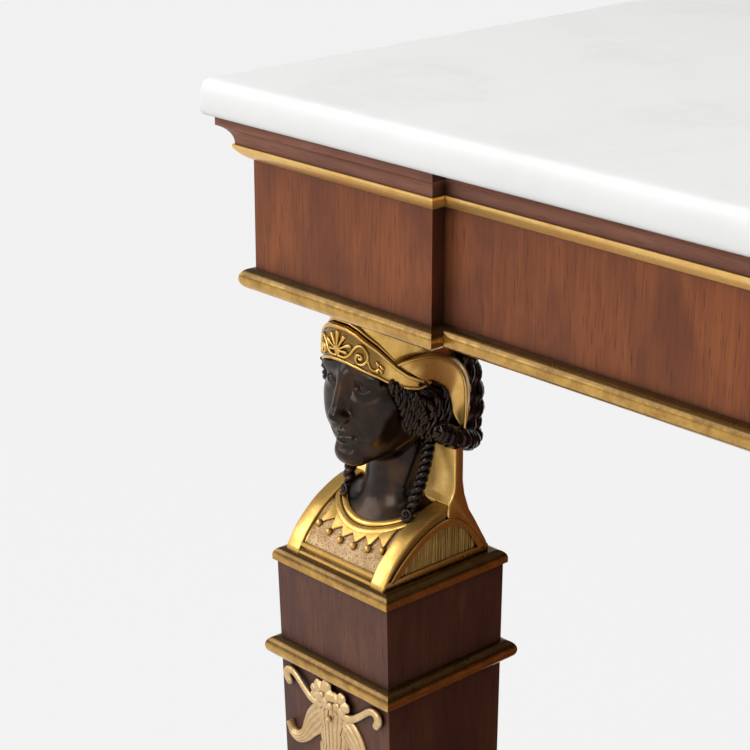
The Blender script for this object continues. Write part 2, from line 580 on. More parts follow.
placed[inside_slab, 1] = np.minimum(placed[inside_slab, 1], NECK_BACK)
patinated_bronze = dark_bronze("patinated_bronze", "22150b", "4a3019", "120a05", 0.34)
give(patinated_bronze, "caryatid_head", "bronze_feet")
pair("bronze_head", skin(placed.reshape(turn.shape + (3,))), [patinated_bronze], "caryatid_head")

# Hair: cast with the head and chased into twisted locks. Waves cover the ears, a roll of curls lies over the slab
# behind the neck, ropes of hair hang side by side down the back, and a plait falls to the collar on each side.
FIRST_CURL = ((28.0, -26.5, -41), (30.2, -22.5, -52), (30.6, -17, -63), (29.0, -11, -76))    # from under the diadem
LAST_CURL = ((34.0, -13.5, -49), (34.8, -9, -58), (34.6, -5, -67), (33.0, 0, -82))
CURLS = 6                    # corkscrew curls before the ear
SWEPT_LOCKS = (              # twisted locks that sweep back round the wing's inner edge to the roll
    ((33.6, -11, -44.0), (34.6, -2, -47.4), (34.6, 5.5, -52.0), (34.8, 10.2, -58.5), (35.4, 11, -65.5),
     (36.4, 8.5, -73)),
    ((33.6, -10, -48.6), (34.8, -3, -52.2), (35.2, 2.2, -57.4), (35.6, 4.6, -64.0), (35.6, 3, -72)),
    ((33.8, -9, -53.6), (35.0, -4, -58.2), (35.4, -1.6, -64.0), (34.8, -1.5, -74)),
)
ROLL = (                     # round the slab from behind the ear
    (37.5, 0, -73), (38.5, 8, -79.5), (37, 17, -83), (33, 30, -89), (22, 45, -93), (0, 52, -95))
ROLL_END = (1.47, 2.0, -75.0)     # the coil that closes it: out, as a share of the plait's root, then back and up
PLAIT = ((27, 6, -84), (28.4, 0.5, -97), (28.6, -5.5, -110), (26.4, -12, -125.0))
PLAIT_SWAY = 2.2             # both plaits hang a little towards the same side
HAIR_SEED = 7
BACK_ROPES = 9
BACK_FAN = 80                # degrees that they spread to each side
BACK_LEVELS = (-18, -40, -60, -78, -90, -98)
BACK_WIDTHS = (27, 32, 34.5, 35, 32, 26)
BACK_DEPTHS = (20, 27, 32, 33.5, 31, 25)
BACK_MIDDLE = 29.0
ROPE_RADIUS = 5.6
GROUND_DEPTH = 6.0           # the hair's ground lies this deep under the ropes' outside
STEPS_PER_WIND = 11
UNEVEN = 0.3                 # share by which a wild strand may change its turn and its thickness
ANY_WAY = (0.31, 0.52, 0.79)     # a way that no lock runs in, to start the winding from
COIL_STEPS = 16
COIL_DRAW = 0.85             # share of its radius that a coil winds in
COIL_TAPER = 0.45


def smooth_path(points, count):
    """Even run of samples on a smooth line through points."""
    p = np.array(points, float)
    p = np.vstack([2 * p[0] - p[1], p, 2 * p[-1] - p[-2]])
    t = np.linspace(0, len(p) - 3 - 1e-9, count)
    i = t.astype(int)
    f = (t - i)[:, None]
    a, b, c, d = p[i], p[i + 1], p[i + 2], p[i + 3]
    return 0.5 * (2 * b + (c - a) * f + (2 * a - 5 * b + 4 * c - d) * f ** 2 + (3 * b - a - 3 * c + d) * f ** 3)


def sweep(shape, lines, fineness=2, material=0):
    """Adds round strands along lines of points with their radii."""
    curve = bpy.data.curves.new("strands", "CURVE")
    curve.dimensions = "3D"
    curve.bevel_depth = 1.0
    curve.bevel_resolution = fineness
    curve.use_fill_caps = True
    for points, radii in lines:
        spline = curve.splines.new("POLY")
        spline.points.add(len(points) - 1)
        spline.points.foreach_set("co", np.column_stack([points, np.ones(len(points))]).ravel())
        spline.points.foreach_set("radius", np.broadcast_to(radii, len(points)))
    holder = bpy.data.objects.new("strands", curve)
    mesh = bpy.data.meshes.new_from_object(holder)
    mesh.polygons.foreach_set("material_index", np.full(len(mesh.polygons), material, np.int32))
    shape.from_mesh(mesh)
    bpy.data.objects.remove(holder)
    bpy.data.curves.remove(curve)
    bpy.data.meshes.remove(mesh)


def rope(points, strands, winds, spread, thick, ends=(0.6, 0.3), phase=0.0, wild=0.0):
    """Strands wound round a path, with a share of their size at its ends; wild ones wander and swell."""
    count = int(winds * STEPS_PER_WIND) + 10
    middle = smooth_path(points, count)
    middle += smooth_path(chance.normal(0, wild, (7, 3)), count)
    along = np.gradient(middle, axis=0)
    along /= np.linalg.norm(along, axis=1)[:, None]
    across = np.cross(along[0], ANY_WAY)
    sides = []
    for step in along:
        across = across - step * (across @ step)
        across /= np.linalg.norm(across)
        sides.append(across)
    sides = np.array(sides)
    others = np.cross(along, sides)
    t = np.linspace(0, 1, count)
    swell = np.interp(t, (0, 0.1, 0.85, 1), (ends[0], 1, 1, ends[1]))
    lines = []
    for k in range(strands):
        uneven = smooth_path(chance.normal(0, UNEVEN * wild, (6, 3)), count)
        angle = (phase + k / strands + winds * t + uneven[:, 0]) * 2 * math.pi
        offset = sides * np.cos(angle)[:, None] + others * np.sin(angle)[:, None]
        radii = thick * swell * (1 + np.clip(uneven[:, 1], -UNEVEN, UNEVEN))
        lines.append((middle + offset * (spread * swell)[:, None], radii))
    return lines


def both_sides(points):
    """A path and its mirror image."""
    return [np.array(points, float) * (side, 1, 1) for side in (1, -1)]


def coil(middle, axis, radius, winds, thick):
    """Flat curl: a strand wound into a spiral about an axis."""
    axis = Vector(axis).normalized()
    across = axis.orthogonal().normalized()
    other = axis.cross(across)
    t = np.linspace(0, 1, int(winds * COIL_STEPS))
    angle = t * winds * 2 * math.pi
    reach = radius * (1 - COIL_DRAW * t)
    points = np.array(middle) + np.outer(reach * np.cos(angle), across) + np.outer(reach * np.sin(angle), other)
    points += np.outer(t * thick, axis)
    return points, thick * (1 - COIL_TAPER * t)


def put_in(shape, other):
    """Adds another finished shape to one."""
    mesh = bpy.data.meshes.new("joined")
    other.to_mesh(mesh)
    other.free()
    shape.from_mesh(mesh)
    bpy.data.meshes.remove(mesh)


chance = np.random.default_rng(HAIR_SEED)
locks = []
for k in range(CURLS):
    path = np.array(FIRST_CURL) + np.subtract(LAST_CURL, FIRST_CURL) * k / (CURLS - 1)
    for one in both_sides(path):
        locks += rope(one, strands=3, winds=3.2 + 0.2 * k, spread=1.25, thick=1.35, ends=(0.9, 0.45),
                      phase=0.23 * k, wild=0.35)
for k, path in enumerate(SWEPT_LOCKS):
    for one in both_sides(path):
        locks += rope(one, strands=5, winds=0.9, spread=2.1, thick=1.3, ends=(0.75, 0.8), phase=0.4 * k, wild=0.4)
for one in both_sides(ROLL):
    locks += rope(one, strands=4, winds=4.6, spread=3.9, thick=3.0, ends=(0.7, 1.0), wild=0.25)
for one in both_sides(PLAIT):
    one[:, 0] += np.linspace(0, PLAIT_SWAY, len(one))
    root_x, tip = one[0][0], one[-1]
    locks += rope(one, strands=2, winds=5.0, spread=1.7, thick=2.3, ends=(0.9, 0.35))
    locks.append(coil(tip + (0, -2.0, 0), (tip[0] * 0.01, -1, 0.35), radius=3.7, winds=1.6, thick=1.3))
    locks.append(coil((root_x * ROLL_END[0], *ROLL_END[1:]), (root_x, -8, 2), radius=5.0, winds=1.7, thick=1.7))
for k in range(BACK_ROPES):
    angle = math.radians(-BACK_FAN + 2 * BACK_FAN * k / (BACK_ROPES - 1))
    path = [(math.sin(angle) * (w - ROPE_RADIUS), BACK_MIDDLE + math.cos(angle) * (d - ROPE_RADIUS), z)
            for z, w, d in zip(BACK_LEVELS, BACK_WIDTHS, BACK_DEPTHS)]
    locks += rope(path, strands=2, winds=4.2, spread=2.7, thick=3.3, ends=(0.9, 0.8), phase=0.13 * k)
hair = bmesh.new()
sweep(hair, locks)
put_in(hair, skin(np.array([
    [(math.sin(a) * (w - GROUND_DEPTH), BACK_MIDDLE + math.cos(a) * (d - GROUND_DEPTH), z)
     for a in np.linspace(0, 2 * math.pi, 49)] for z, w, d in zip(BACK_LEVELS, BACK_WIDTHS, BACK_DEPTHS)])))
# The same bronze, chased with punches: the grooves hold the patina, and the ridges between them shine.
chased_bronze = dark_bronze("chased_bronze", "1a0e06", "3c2411", "060302", 0.24)
pair("bronze_hair", hair, [chased_bronze], "caryatid_head")

# Diadem: a brass band round the brow, cast, chased and mercury gilt, highest over the forehead. Between two raised
# rims it carries a honeysuckle with scrolls to both sides, and its ends run out smooth over the temples.
DIADEM_HALF_WIDTH = 37.3
DIADEM_HALF_DEPTH = 41.2
DIADEM_TURNS = (0, 10, 20, 28, 38.5, 46, 54, 64.5, 74, 81, 86)
DIADEM_LOWER = (-32.6, -33.0, -34.8, -36.6, -39.2, -41.8, -44.4, -46.9, -48.2, -47.2, -44.9)
DIADEM_UPPER = (-11.0, -11.3, -13.8, -17.3, -21.9, -26.6, -31.8, -37.4, -40.6, -42.6, -44.3)
DIADEM_END = 86
DIADEM_STEPS = (80, 421)     # up the band and along it
DIADEM_WALL = 2.4
UPPER_RIM = 2.8
LOWER_RIM = 2.2
RIM_HEIGHT = 1.2
PETALS = 7
PETAL_FAN = 30.5
PETAL_FOOT = 7.0
PETAL_LENGTHS = (11.4, 11.0, 11.4, 7.5)     # from the middle outwards
PETAL_ROOT = 0.6             # half width at the root
PETAL_SWELL = 0.85           # and what it gains towards the tip
PETAL_TIP = 1.2
PETAL_HEIGHT = 1.9
PETAL_BOSS = (1.0, 2.3, 2.0)     # below the petals' foot, radius, height
SCROLL = (                   # along the band from the middle, and up from its lower edge
    (0.9, 3.7), (5.7, 3.9), (8.9, 6.6), (11.5, 10.8), (14.5, 14.3), (17.4, 14.9), (19.8, 12.3), (19.9, 8.6),
    (17.6, 4.9), (14.5, 4.0), (12.9, 6.0), (14.0, 8.8), (16.2, 9.3), (16.4, 7.4), (15.2, 7.0))
SCROLL_SIZE = (0.95, 1.8)    # half width, height
SCROLL_EYE = 1.3
TENDRIL = ((20.0, 8.6), (21.0, 5.8), (22.9, 4.0), (25.2, 4.6), (26.6, 6.2))
TENDRIL_SIZE = (0.8, 1.5)
LOBES = ((25.8, 8.7, 1.5), (28.2, 7.7, 1.6), (27.9, 5.3, 1.4), (25.6, 4.2, 1.2))
LOBE_HEIGHT = 1.7
CHASED_END = (27.0, 33.0)    # the waxed ground runs out here
GROUND_WAX = 0.75
WAX_HEIGHT = 0.9             # relief that stands over the wax


def from_line(along, up, line):
    """Distance in a plane to a line of points."""
    nearest = np.full(along.shape, 1e9)
    for (ax, ay), (bx, by) in zip(line, line[1:]):
        run = (bx - ax) ** 2 + (by - ay) ** 2
        t = np.clip(((along - ax) * (bx - ax) + (up - ay) * (by - ay)) / run, 0, 1)
        nearest = np.minimum(nearest, np.hypot(along - ax - t * (bx - ax), up - ay - t * (by - ay)))
    return nearest


def half_round(distance, half_width, height):
    """Height of a rounded ridge at a distance from its line."""
    return height * np.sqrt(np.clip(1 - (distance / half_width) ** 2, 0, 1))


angles = np.radians(np.linspace(-DIADEM_END, DIADEM_END, DIADEM_STEPS[1]))
rise, angle = np.meshgrid(np.linspace(0, 1, DIADEM_STEPS[0]), angles, indexing="ij")
fine = np.linspace(0, math.radians(DIADEM_END), 400)
speed = np.hypot(DIADEM_HALF_WIDTH * np.cos(fine), DIADEM_HALF_DEPTH * np.sin(fine))
run = np.append(0, np.cumsum((speed[1:] + speed[:-1]) / 2 * np.diff(fine)))
along = np.interp(np.abs(angle), fine, run)
lower = np.interp(np.abs(angle), np.radians(DIADEM_TURNS), DIADEM_LOWER)
upper = np.interp(np.abs(angle), np.radians(DIADEM_TURNS), DIADEM_UPPER)
tall = upper - lower
up = rise * tall
relief = np.maximum(half_round(up - LOWER_RIM / 2, LOWER_RIM / 2, RIM_HEIGHT),
                    half_round(tall - up - UPPER_RIM / 2, UPPER_RIM / 2, RIM_HEIGHT))
side = along * np.sign(angle)
for k in range(PETALS):
    petal = k - (PETALS - 1) // 2
    lean = math.radians(petal * PETAL_FAN)
    length = PETAL_LENGTHS[abs(petal)]
    out = side * math.sin(lean) + (up - PETAL_FOOT) * math.cos(lean)
    across = side * math.cos(lean) - (up - PETAL_FOOT) * math.sin(lean)
    width = PETAL_ROOT + PETAL_SWELL * np.clip(out / length, 0, 1) ** 1.3
    past = np.maximum(out - (length - PETAL_TIP), 0) + np.maximum(-out, 0)
    relief = np.maximum(relief, half_round(np.hypot(across, past), width, PETAL_HEIGHT))
relief = np.maximum(relief, half_round(np.hypot(along, up - PETAL_FOOT + PETAL_BOSS[0]), *PETAL_BOSS[1:]))
for line, size in ((SCROLL, SCROLL_SIZE), (TENDRIL, TENDRIL_SIZE)):
    path = smooth_path(np.column_stack([line, np.zeros(len(line))]), 70)[:, :2]
    relief = np.maximum(relief, half_round(from_line(along, up, path), *size))
for lobe_along, lobe_up, size in LOBES + ((*SCROLL[-1], SCROLL_EYE),):
    relief = np.maximum(relief, half_round(np.hypot(along - lobe_along, up - lobe_up), size, LOBE_HEIGHT))
ground = np.clip(1 - relief / WAX_HEIGHT, 0, 1) * np.interp(along, CHASED_END, (1, 0)) * GROUND_WAX
ground *= (up > LOWER_RIM / 2) & (tall - up > UPPER_RIM / 2)


def diadem_wall(offset):
    """Points of the band's wall at an offset from its outer face."""
    return np.stack([np.sin(angle) * (DIADEM_HALF_WIDTH + offset), -np.cos(angle) * (DIADEM_HALF_DEPTH + offset),
                     lower + up], axis=-1)


front = diadem_wall(relief - RIM_HEIGHT)
back = diadem_wall(np.full_like(relief, -RIM_HEIGHT - DIADEM_WALL))[[-1, 0]]
wax = np.concatenate([ground, np.zeros_like(ground[:2]), ground[:1]])
# Rubbed with an agate burnisher: warm gold with sharp lights on the relief, and dark wax in the ground behind it.
burnished_gilding = gilding("burnished_gilt_brass", "eec06c", "d9aa54", "452a0e", 0.24, 0.36, 4.0)
band = skin(np.concatenate([front, back, front[:1]]), wax)
pair("diadem", band, [burnished_gilding], "diadem", sharp=55)

# Veil: a gilt cap that rises from the diadem to the apron, and on each side a wing that stands out behind the ear
# and scoops forward to a thin rolled rim. It is brass, cast in one with its rims, gilt, and brightest on the scoop.
CAP_RINGS = ((-46, 34.0, 37.4), (-36, 34.4, 37.8), (-27, 34.0, 37.6), (-18, 32.8, 36.8), (-10, 31.2, 35.4),
             (-4, 29.6, 34.2), (0, 28.6, 33.4))
CAP_EDGE_TURNS = (0, 30, 66, 90, 180)
CAP_EDGE = (-26.0, -29.0, -41.0, -44.0, -44.0)
WING_RIM = ((31.5, -24, -31), (35.5, -18.6, -28.5), (38, -11.3, -27.9), (39, -4, -29.2), (40, 3.4, -31.9),
            (41, 10.9, -36.7), (41.3, 16.4, -43), (41.3, 19.4, -50.8), (41.3, 20.2, -59.9), (41.2, 20.1, -68.9),
            (41, 19.6, -77.1))
WING_ROOT = ((31, -23.5, -31.5), (34.5, -17.5, -36.1), (36.3, -9.6, -41.7), (35.6, 0.0, -45.1), (35.4, 6.9, -49.3),
             (35.2, 13.1, -56.1), (35.4, 14.9, -62.8), (35.2, 16.9, -69.7), (38.0, 20.2, -77.6))
WING_BACK = ((30, -22, -31), (31, -12, -29), (31.5, 0, -29), (32, 12, -33), (32.5, 22, -38), (32.5, 28, -46),
             (32, 32, -54), (32, 33, -65), (33, 30, -74), (38, 22, -78))
SCOOP_BOW = np.array([-1.1, 1.0, -0.6])
BACK_BOW = np.array([1.2, 1.6, 1.2])
SCOOP_FACING = (0.73, -0.68)     # way out and to the front that the scoop looks
SCOOP_SHARE = 0.35               # a face that looks that way this much is bright
RIM_RADIUS = 0.9
BACK_RIM_RADIUS = 1.0
STATIONS = 72
CREASE = (33.6, 37.6, 1.4)   # roll behind the diadem: half width, half depth, over the band's edge
CREASE_END = 64
CREASE_RADIUS = 0.9


def bowed(start, end, bow, steps):
    """Sections from one edge to another, bowed in the middle."""
    t = np.linspace(0, 1, steps)[None, :, None]
    middle = (start + end) / 2 + bow
    return start[:, None] * (1 - t) ** 2 + 2 * middle[:, None] * t * (1 - t) + end[:, None] * t ** 2


veil = bmesh.new()
round_turn = np.linspace(0, 2 * math.pi, 97)
cap_edge = np.interp(np.degrees(math.pi - np.abs(round_turn - math.pi)), CAP_EDGE_TURNS, CAP_EDGE)
cap_up = cap_edge * np.linspace(1, 0, 40)[:, None]
cap_levels, cap_widths, cap_depths = zip(*CAP_RINGS)
cap_wide, cap_deep = [np.interp(cap_up, cap_levels, sizes) for sizes in (cap_widths, cap_depths)]
put_in(veil, skin(np.stack([np.sin(round_turn) * cap_wide, -np.cos(round_turn) * cap_deep, cap_up], axis=-1)))
rim, root, behind = [smooth_path(edge, STATIONS) for edge in (WING_RIM, WING_ROOT, WING_BACK)]
section = np.concatenate([bowed(root, rim, SCOOP_BOW, 14), bowed(rim, behind, BACK_BOW, 10)[:, 1:],
                          bowed(behind, root, np.zeros(3), 3)[:, 1:]], axis=1)
for side in (1, -1):
    wing = skin(section * (side, 1, 1))
    for face in wing.faces:
        facing = SCOOP_FACING[0] * side * face.normal.x + SCOOP_FACING[1] * face.normal.y
        face.material_index = int(facing > SCOOP_SHARE)
    put_in(veil, wing)
    lower_back = behind[STATIONS // 2:]
    sweep(veil, [(rim * (side, 1, 1), RIM_RADIUS), (lower_back * (side, 1, 1), BACK_RIM_RADIUS)], fineness=3)
edge_turn = np.radians(np.linspace(-CREASE_END, CREASE_END, 90))
edge_up = np.interp(np.abs(np.degrees(edge_turn)), DIADEM_TURNS, DIADEM_UPPER)
crease = np.column_stack([np.sin(edge_turn) * CREASE[0], -np.cos(edge_turn) * CREASE[1], edge_up + CREASE[2]])
sweep(veil, [(crease, CREASE_RADIUS)], fineness=3)
pair("veil", veil, [burnished_gilding, bright_gilding], "veil", sharp=40)

# Herm base: gilt brass shoulders cast in one with the slab behind the neck, held down on the leg by the iron rod.
# Plain burnished bands frame a sunk, stippled field with a collar of two mouldings, points and drops. The ends have
# a half-round panel with a scratched ground.
SHOULDER_LINE = ((-45.0, -160.0), (-44.9, -158.2), (-43.4, -155.4), (-38.0, -147.4), (-31.0, -140.2),
                 (-22.8, -133.4), (-13.0, -127.9), (-4.0, -124.2), (7.5, -121.6))
HIDDEN_LINE = ((14.0, -124.0), (21.0, -132.0), (29.0, -144.0), (36.5, -157.5))       # under the slab
SHOULDER_STEPS = 64
HIDDEN_STEPS = 16
HIDDEN_SHARE = 0.95          # width of the hidden part
END_SECTION = (              # from the middle outwards: across, sunk under the line
    (30.4, 2.6), (31.0, 2.2), (31.0, 0.5), (31.3, 0.1), (31.9, 0.0), (40.9, 0.0), (41.4, 0.15), (41.7, 0.6),
    (41.7, 2.4), (41.3, 2.8), (39.8, 3.0))
STIPPLED, SCRATCHED, BRIGHT = 1, 2, 3     # places in the list of finishes, after the burnished one
END_FACING = 0.9             # a face that looks sideways this much
END_INSET = 40.5             # and lies inside of this is the scratched ground
FIELD_HALF = 31.0
FIELD_SINK = 2.6
BASE_FOOT = -160.0
SLAB_HALF = 41.4
SLAB_PROFILE = (
    (12.0, -88), (19.0, -88), (19.0, -109), (20.5, -118), (24.4, -128.8), (30.2, -138), (34.8, -146), (38.4, -152),
    (41.0, -157.2), (38.5, -157.7), (30.7, -146.1), (23.1, -138.0), (15.6, -132.4), (8.3, -130.5), (7.0, -129.0),
    (7.0, -121.8), (9.8, -118.8), (11.4, -115.2), (12.0, -111.0))
SLAB_BEVEL = 0.8
SLAB_HARD = 0.7              # edges that turn more than this, in radians, are bevelled
SLAB_FACING = -0.5           # faces that look to the front at least this much are bright
PANEL_OUTER = ((-39.1, -157.4), (-30.0, -148.0), (-20.2, -140.6), (-10.4, -135.0), (-0.4, -131.5), (8.3, -130.5),
               (15.6, -132.4), (23.1, -138.0), (30.7, -146.1), (38.5, -157.7))
PANEL_INNER = ((-32.6, -156.4), (-24.6, -149.6), (-15.0, -142.6), (-5.6, -137.8), (3.4, -135.4), (11.0, -135.8),
               (18.4, -139.2), (25.6, -145.4), (33.2, -156.6))
PANEL_GROUND = 39.8
PANEL_FACE = 41.5
PANEL_RIM = (                # share of the way from the inner to the outer line, and across
    (0.0, 39.3), (0.0, 40.9), (0.12, PANEL_FACE), (0.88, PANEL_FACE), (1.0, 40.9), (1.0, 39.3), (0.0, 39.3))
FOOT_BAR_TOP = -155.8
FOOT_BAR_MIDDLE = -0.5
FOOT_BAR_DEPTH = 83.0
FOOT_BAR_BEVEL = 0.7
COLLAR_Y = 14.2
COLLAR_BANDS = ((34.8, 38.6, 2.5), (38.5, 42.9, 1.9))     # inner radius, outer radius, rise
COLLAR_SUNK = 1.0            # its mouldings run this far under the field
DROPS = ((-27.2, -30.9), (-16.6, -32.7), (-5.6, -33.9), (5.6, -33.9), (16.6, -32.7), (27.2, -30.9))
DROP_RADIUS = 2.0
DROP_SHAPE = (0.9, 1.05, 1.2)
DROP_RISE = 1.1
POINT_HALF = 5.2
POINT_TIP = 0.9              # half width at the drop
POINT_RISE = 1.4
POINT_SHOULDER = 1.0         # its sides rise this far, then a chamfer runs in
POINT_CHAMFER = 0.4
POINT_SUNK = 0.8             # under the field, and under the collar
FIELD_BARS = ((-41.3, -155.2, 1.75), (-43.5, -159.2, 1.25))
SCRATCHED_RUN = (-30, 31)
SCRATCH_STEP = 0.85
SCRATCH_STRAY = 0.22
SCRATCH_LEAN = 0.35
SCRATCH_RADII = (0.12, 0.36)
SCRATCH_UNDER = (0.5, 0.6)   # run under the foot bar and under the rim
SCRATCH_SEED = 11


def smooth_outline(points, count):
    """Smooth line through flat points."""
    return smooth_path([(0,) + at for at in points], count)[:, 1:]


line = np.vstack([smooth_outline(SHOULDER_LINE, SHOULDER_STEPS),
                  smooth_outline((SHOULDER_LINE[-1],) + HIDDEN_LINE, HIDDEN_STEPS)[1:]])
run = np.gradient(line, axis=0)
run /= np.linalg.norm(run, axis=1)[:, None]
out = np.column_stack([-run[:, 1], run[:, 0]])
shown = slice(SHOULDER_STEPS - 1)
field_y, field_z = (line - out * FIELD_SINK)[shown].T
field_out_y, field_out_z = out[shown].T


def on_field(x, y, rise):
    """A point over the sunk field."""
    z, out_y, out_z = [np.interp(y, field_y, column) for column in (field_z, field_out_y, field_out_z)]
    return np.array([x, y + out_y * rise, z + out_z * rise])


def across_field(middle, away, side, rise):
    """A point beside the line from the collar's middle through a drop: its way along the line and to one side."""
    way = np.array([middle[0], middle[1] - COLLAR_Y])
    way /= np.linalg.norm(way)
    return on_field(way[0] * away - way[1] * side, COLLAR_Y + way[1] * away + way[0] * side, rise)


rows = []
for k, (at, away) in enumerate(zip(line, out)):
    narrow = 1.0 if k < SHOULDER_STEPS - 1 else HIDDEN_SHARE
    half_row = [(x * narrow, *(at - away * sunk)) for x, sunk in END_SECTION]
    half_row.append((half_row[-1][0], half_row[-1][1], BASE_FOOT))
    left = [(-x, y, z) for x, y, z in reversed(half_row)]
    rows.append(left + half_row + left[:1])
base = skin(np.array(rows))
for face in base.faces:
    middle = face.calc_center_median()
    if abs(middle.x) < 1 and face.normal.z > 0:
        face.material_index = STIPPLED
    elif abs(face.normal.x) > END_FACING and abs(middle.x) < END_INSET:
        face.material_index = SCRATCHED
foot = bmesh.new()
bmesh.ops.create_cube(foot, size=1, matrix=Matrix.Translation((0, FOOT_BAR_MIDDLE, (BASE_FOOT + FOOT_BAR_TOP) / 2))
                      @ Matrix.Diagonal((2 * PANEL_FACE, FOOT_BAR_DEPTH, FOOT_BAR_TOP - BASE_FOOT, 1)))
bmesh.ops.bevel(foot, geom=foot.edges[:], offset=FOOT_BAR_BEVEL, affect="EDGES", segments=3, profile=0.5, material=-1)
put_in(base, foot)
slab = bmesh.new()
side = slab.faces.new([slab.verts.new((-SLAB_HALF, y, z)) for y, z in SLAB_PROFILE])
grown = bmesh.ops.extrude_face_region(slab, geom=[side])
moved = [v for v in grown["geom"] if isinstance(v, bmesh.types.BMVert)]
bmesh.ops.translate(slab, verts=moved, vec=(2 * SLAB_HALF, 0, 0))
bmesh.ops.recalc_face_normals(slab, faces=slab.faces)
hard = [e for e in slab.edges if e.calc_face_angle(0) > SLAB_HARD]
bmesh.ops.bevel(slab, geom=hard, offset=SLAB_BEVEL, affect="EDGES", segments=3, profile=0.5, material=-1)
for face in slab.faces:
    face.material_index = BRIGHT * (face.normal.y < SLAB_FACING)
put_in(base, slab)
outer, inner = [smooth_outline(edge, 60) for edge in (PANEL_OUTER, PANEL_INNER)]
for side in (1, -1):
    put_in(base, skin(np.array([[(side * x, *(near + (far - near) * f)) for f, x in PANEL_RIM]
                                for near, far in zip(inner, outer)])))
for near, far, rise in COLLAR_BANDS:
    arch = [(near + (far - near) * (1 - math.cos(a)) / 2, -COLLAR_SUNK + (rise + COLLAR_SUNK) * math.sin(a) ** 0.4)
            for a in np.linspace(0, math.pi, 14)]
    ring = []
    for f in np.linspace(-1, 1, 81):
        turned = [(r, f * math.asin(FIELD_HALF / r), h) for r, h in arch + arch[:1]]
        ring.append([on_field(r * math.sin(a), COLLAR_Y - r * math.cos(a), h) for r, a, h in turned])
    put_in(base, skin(np.array(ring)))
for drop_at in DROPS:
    reach = math.hypot(drop_at[0], drop_at[1] - COLLAR_Y)
    root = COLLAR_BANDS[1][1] - POINT_SUNK
    point_rows = []
    for t in np.linspace(0, 1, 10):
        half = POINT_HALF * (1 - t) ** 1.15 + POINT_TIP
        edge = ((half - POINT_CHAMFER, POINT_RISE), (half, POINT_SHOULDER), (half, -POINT_SUNK))
        section = [(-s, h) for s, h in reversed(edge)] + list(edge) + [(-half, -POINT_SUNK)]
        point_rows.append([across_field(drop_at, root + (reach - DROP_RADIUS - root) * t, s, h) for s, h in section])
    put_in(base, skin(np.array(point_rows)))
    drop = bmesh.new()
    bmesh.ops.create_uvsphere(drop, u_segments=16, v_segments=10, radius=DROP_RADIUS,
                              matrix=Matrix.Diagonal(DROP_SHAPE + (1,)))
    bmesh.ops.translate(drop, verts=drop.verts, vec=on_field(*drop_at, DROP_RISE))
    put_in(base, drop)
sweep(base, [(np.array([(-FIELD_HALF, y, z), (FIELD_HALF, y, z)]), r) for y, z, r in FIELD_BARS], fineness=3)
chance = np.random.default_rng(SCRATCH_SEED)
scratches = []
for side in (1, -1):
    for y in np.arange(*SCRATCHED_RUN, SCRATCH_STEP):
        y, lean = y + chance.normal(0, SCRATCH_STRAY), chance.normal(0, SCRATCH_LEAN)
        top = np.interp(y, inner[:, 0], inner[:, 1])
        ends = [(side * PANEL_GROUND, y, FOOT_BAR_TOP - SCRATCH_UNDER[0]),
                (side * PANEL_GROUND, y + lean, top + SCRATCH_UNDER[1])]
        scratches.append((np.array(ends), chance.uniform(*SCRATCH_RADII)))
sweep(base, scratches, fineness=1, material=SCRATCHED)
# Matted with a fine punch: pale gold without any gloss, and brown in its pits.
matt_gilding = gilding("punched_matt_gilt_brass", "dcbc8e", "c8a474", "6a4a2c", 0.55, 0.7, 3.0, stipple=1.0,
                       metallic=0.7)
# Scratched with a graver after gilding: dull and greener gold, dark between the strokes.
scratched_gilding = gilding("scratched_gilt_brass", "c09a50", "a67f3c", "4a3014", 0.42, 0.6, 1.2, metallic=0.75)
base_finishes = [burnished_gilding, matt_gilding, scratched_gilding, bright_gilding]
pair("herm_base", base, base_finishes, "herm_base", sharp=35)

# Shaft mount: a brass ornament, cast, chased, gilt to a pale satin and pinned to the leg's front under the band. Two
# arms spring from three flowers, and a pleated leaf hangs below them with a broad frond curling up on each side.
MOUNT_TOP = 526.0            # height of the band's foot over the floor
LEG_TOP = 598.0
LEG_HALF = 47.5
LEG_LEAN = 0.034
ARM = (                      # across, below the band, proud
    (6.0, 16.4, 3.4), (12.0, 18.6, 3.6), (18.0, 17.6, 3.8), (23.2, 14.2, 3.8), (28.2, 10.2, 3.6), (32.6, 6.8, 3.5),
    (36.6, 5.8, 3.4), (39.6, 7.4, 3.3), (40.2, 10.6, 3.2), (38.4, 13.8, 3.2))
ARM_RADII = (2.7, 2.6, 2.4, 2.3, 2.2, 2.3, 2.5, 2.8, 2.9, 2.6)
ARM_FLATTENED = 0.7          # an arm stands this much less proud than it is wide
FLOWERS = (                  # across, below the band, proud, radius
    (-5.2, 9.0, 3.6, 10.0), (8.0, 11.8, 3.2, 8.4), (-13.2, 12.4, 2.2, 6.6))
FLOWER_PETALS = 5
FLOWER_DEPTH = 0.3           # this and the next five are shares of the radius
FLOWER_GAP = 0.26            # the petals part this far at the edge
GAP_DEPTH = 0.2
HEART_DIP = (0.12, 0.35)     # hollow round the heart: depth and radius
HEART_RADIUS = 0.2
HEART_PROUD = 0.16
BUD = (1.4, 14.6, 4.6, 2.6)
PIN = (0.0, 24.0, 5.6, 1.8)
LEAF_DROPS = (17, 20, 25, 31, 40, 52, 66, 80, 94, 105, 112)
LEAF_HALVES = (11.0, 15.5, 16.0, 14.0, 13.0, 13.6, 13.2, 12.0, 9.0, 5.0, 0.6)
LEAF_NOTCHES = 9
LEAF_NOTCH = 0.12            # share of the half width that a notch takes
LEAF_THICK = 0.8
LEAF_GROOVES = (-0.86, -0.62, -0.38, -0.13, 0.13, 0.38, 0.62, 0.86)
LEAF_GROOVE_DEPTH = 0.8
LEAF_WAX = 0.35
LEAF_CROWN = 3.6
